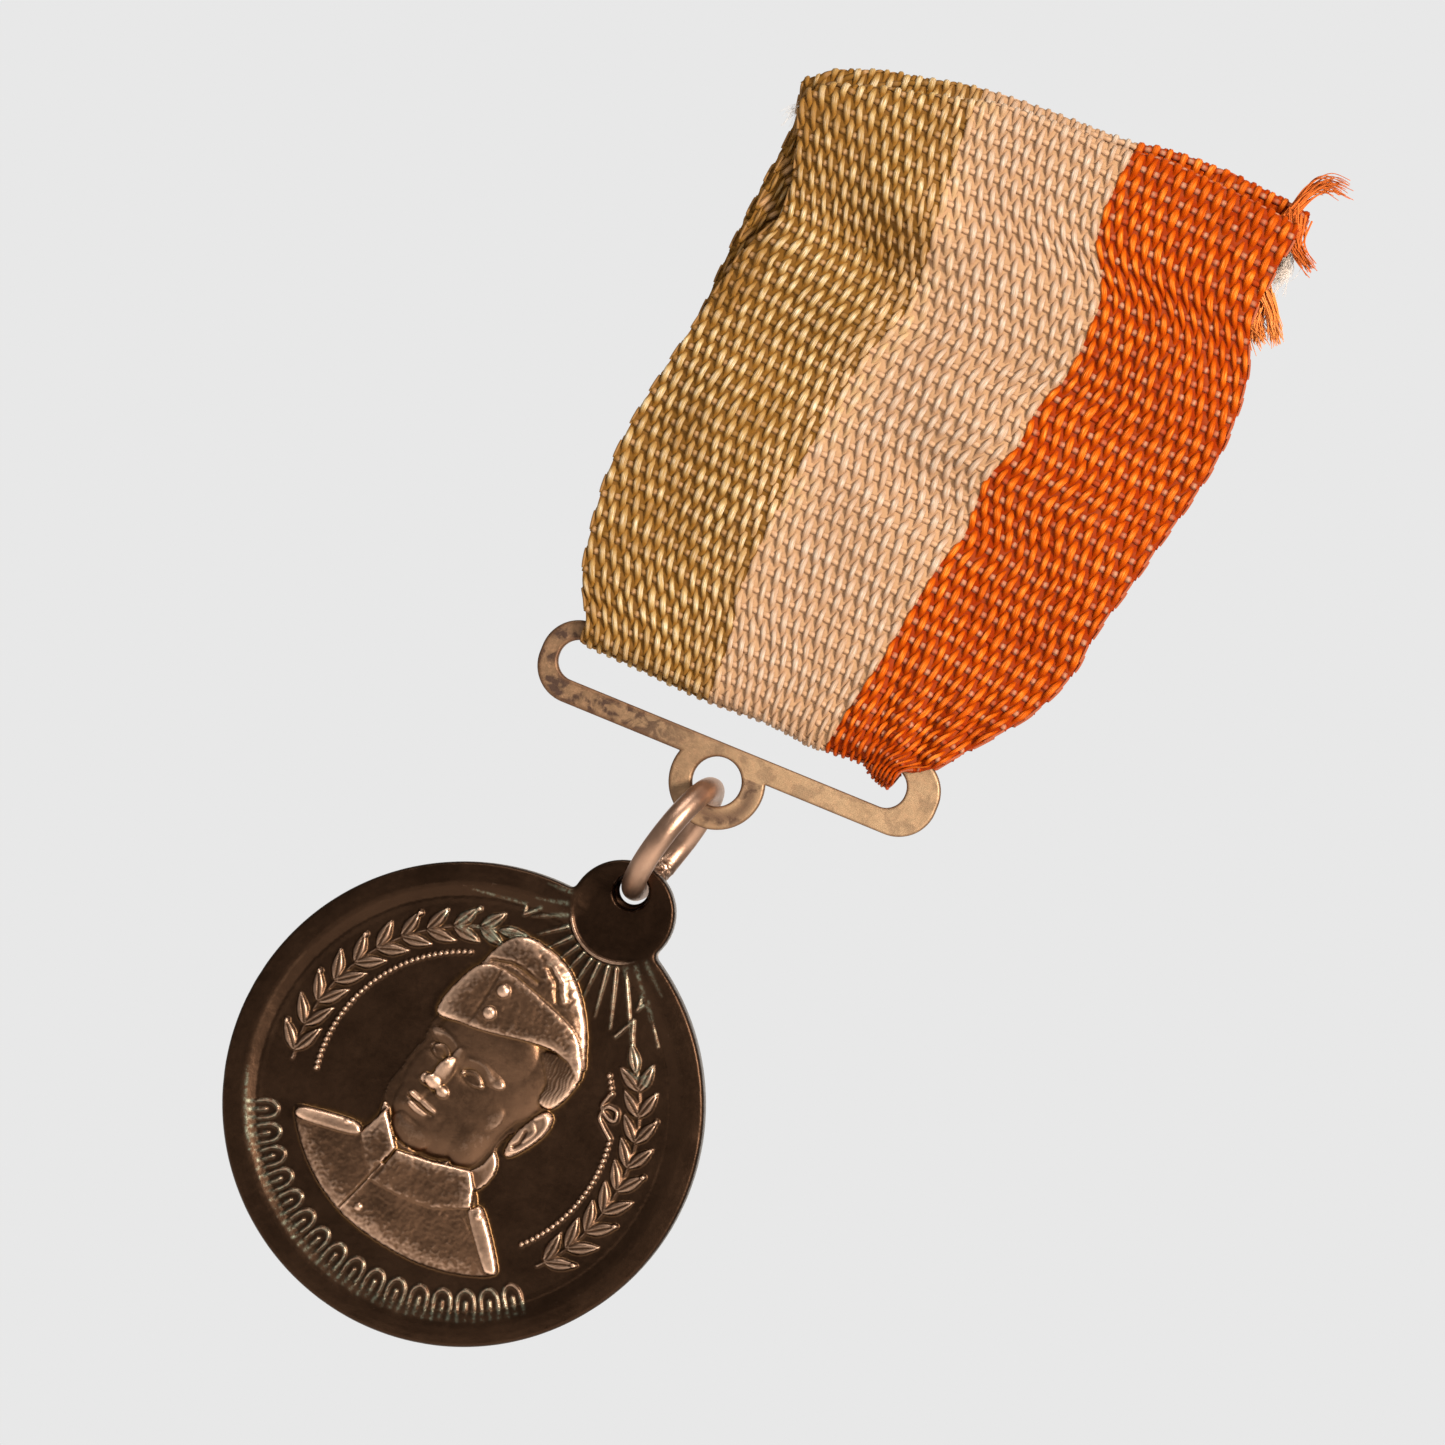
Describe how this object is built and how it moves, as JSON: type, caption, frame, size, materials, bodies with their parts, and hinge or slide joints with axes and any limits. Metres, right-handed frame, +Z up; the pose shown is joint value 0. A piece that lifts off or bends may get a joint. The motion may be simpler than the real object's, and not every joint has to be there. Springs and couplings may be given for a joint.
{
  "type": "military service medal",
  "caption": "Round struck service medal hanging from a folded three-colour ribbon by a slotted bar and a jump ring, with a pin brooch sewn to the back.",
  "frame": {"origin": "middle of the brooch needle's shaft, behind the top of the ribbon, where the medal is held to a garment", "axes": "+Z up along the hanging ribbon, -Y out of the struck front, +X to the right as the front is looked at"},
  "size_m": [0.0408, 0.01, 0.0907],
  "materials": {
    "ribbon_cloth": "satin woven",
    "sewing_thread": "matte",
    "brooch_brass": "dull",
    "needle_steel": "bright",
    "bar_brass": "worn gilt",
    "ring_bronze": "satin",
    "medal_bronze": "dark patina"
  },
  "bodies": {
    "ribbon_and_brooch": {"ribbon": "ribbon_cloth", "closing_stitches": "sewing_thread", "brooch_plate": "brooch_brass", "brooch_stitches": "sewing_thread", "brooch_hinge": "brooch_brass", "hinge_rivet": "brooch_brass", "pin_catch": "brooch_brass"},
    "needle": {"brooch_pin": "needle_steel"},
    "bar": {"suspension_bar": "bar_brass"},
    "ring": {"jump_ring": "ring_bronze"},
    "medal": {"medal_disc": "medal_bronze"}
  },
  "joints": [
    {"name": "needle_opening", "type": "hinge", "parent": "ribbon_and_brooch", "child": "needle", "pos_m": [0.0095, 0, 0], "axis": [0, 0, -1], "range_deg": [0, 100]},
    {"name": "bar_swing", "type": "hinge", "parent": "ribbon_and_brooch", "child": "bar", "pos_m": [-0.00276, -0.004, -0.03445], "axis": [0.9979, 0, 0.0645], "range_deg": [-80, 80]},
    {"name": "ring_swing", "type": "hinge", "parent": "bar", "child": "ring", "pos_m": [-0.00239, -0.004, -0.0402], "axis": [0, 1, 0], "range_deg": [-43, 20]},
    {"name": "medal_swing", "type": "hinge", "parent": "ring", "child": "medal", "pos_m": [-0.00418, -0.004, -0.04896], "axis": [0, 1, 0], "range_deg": [-34, 29]}
  ]
}
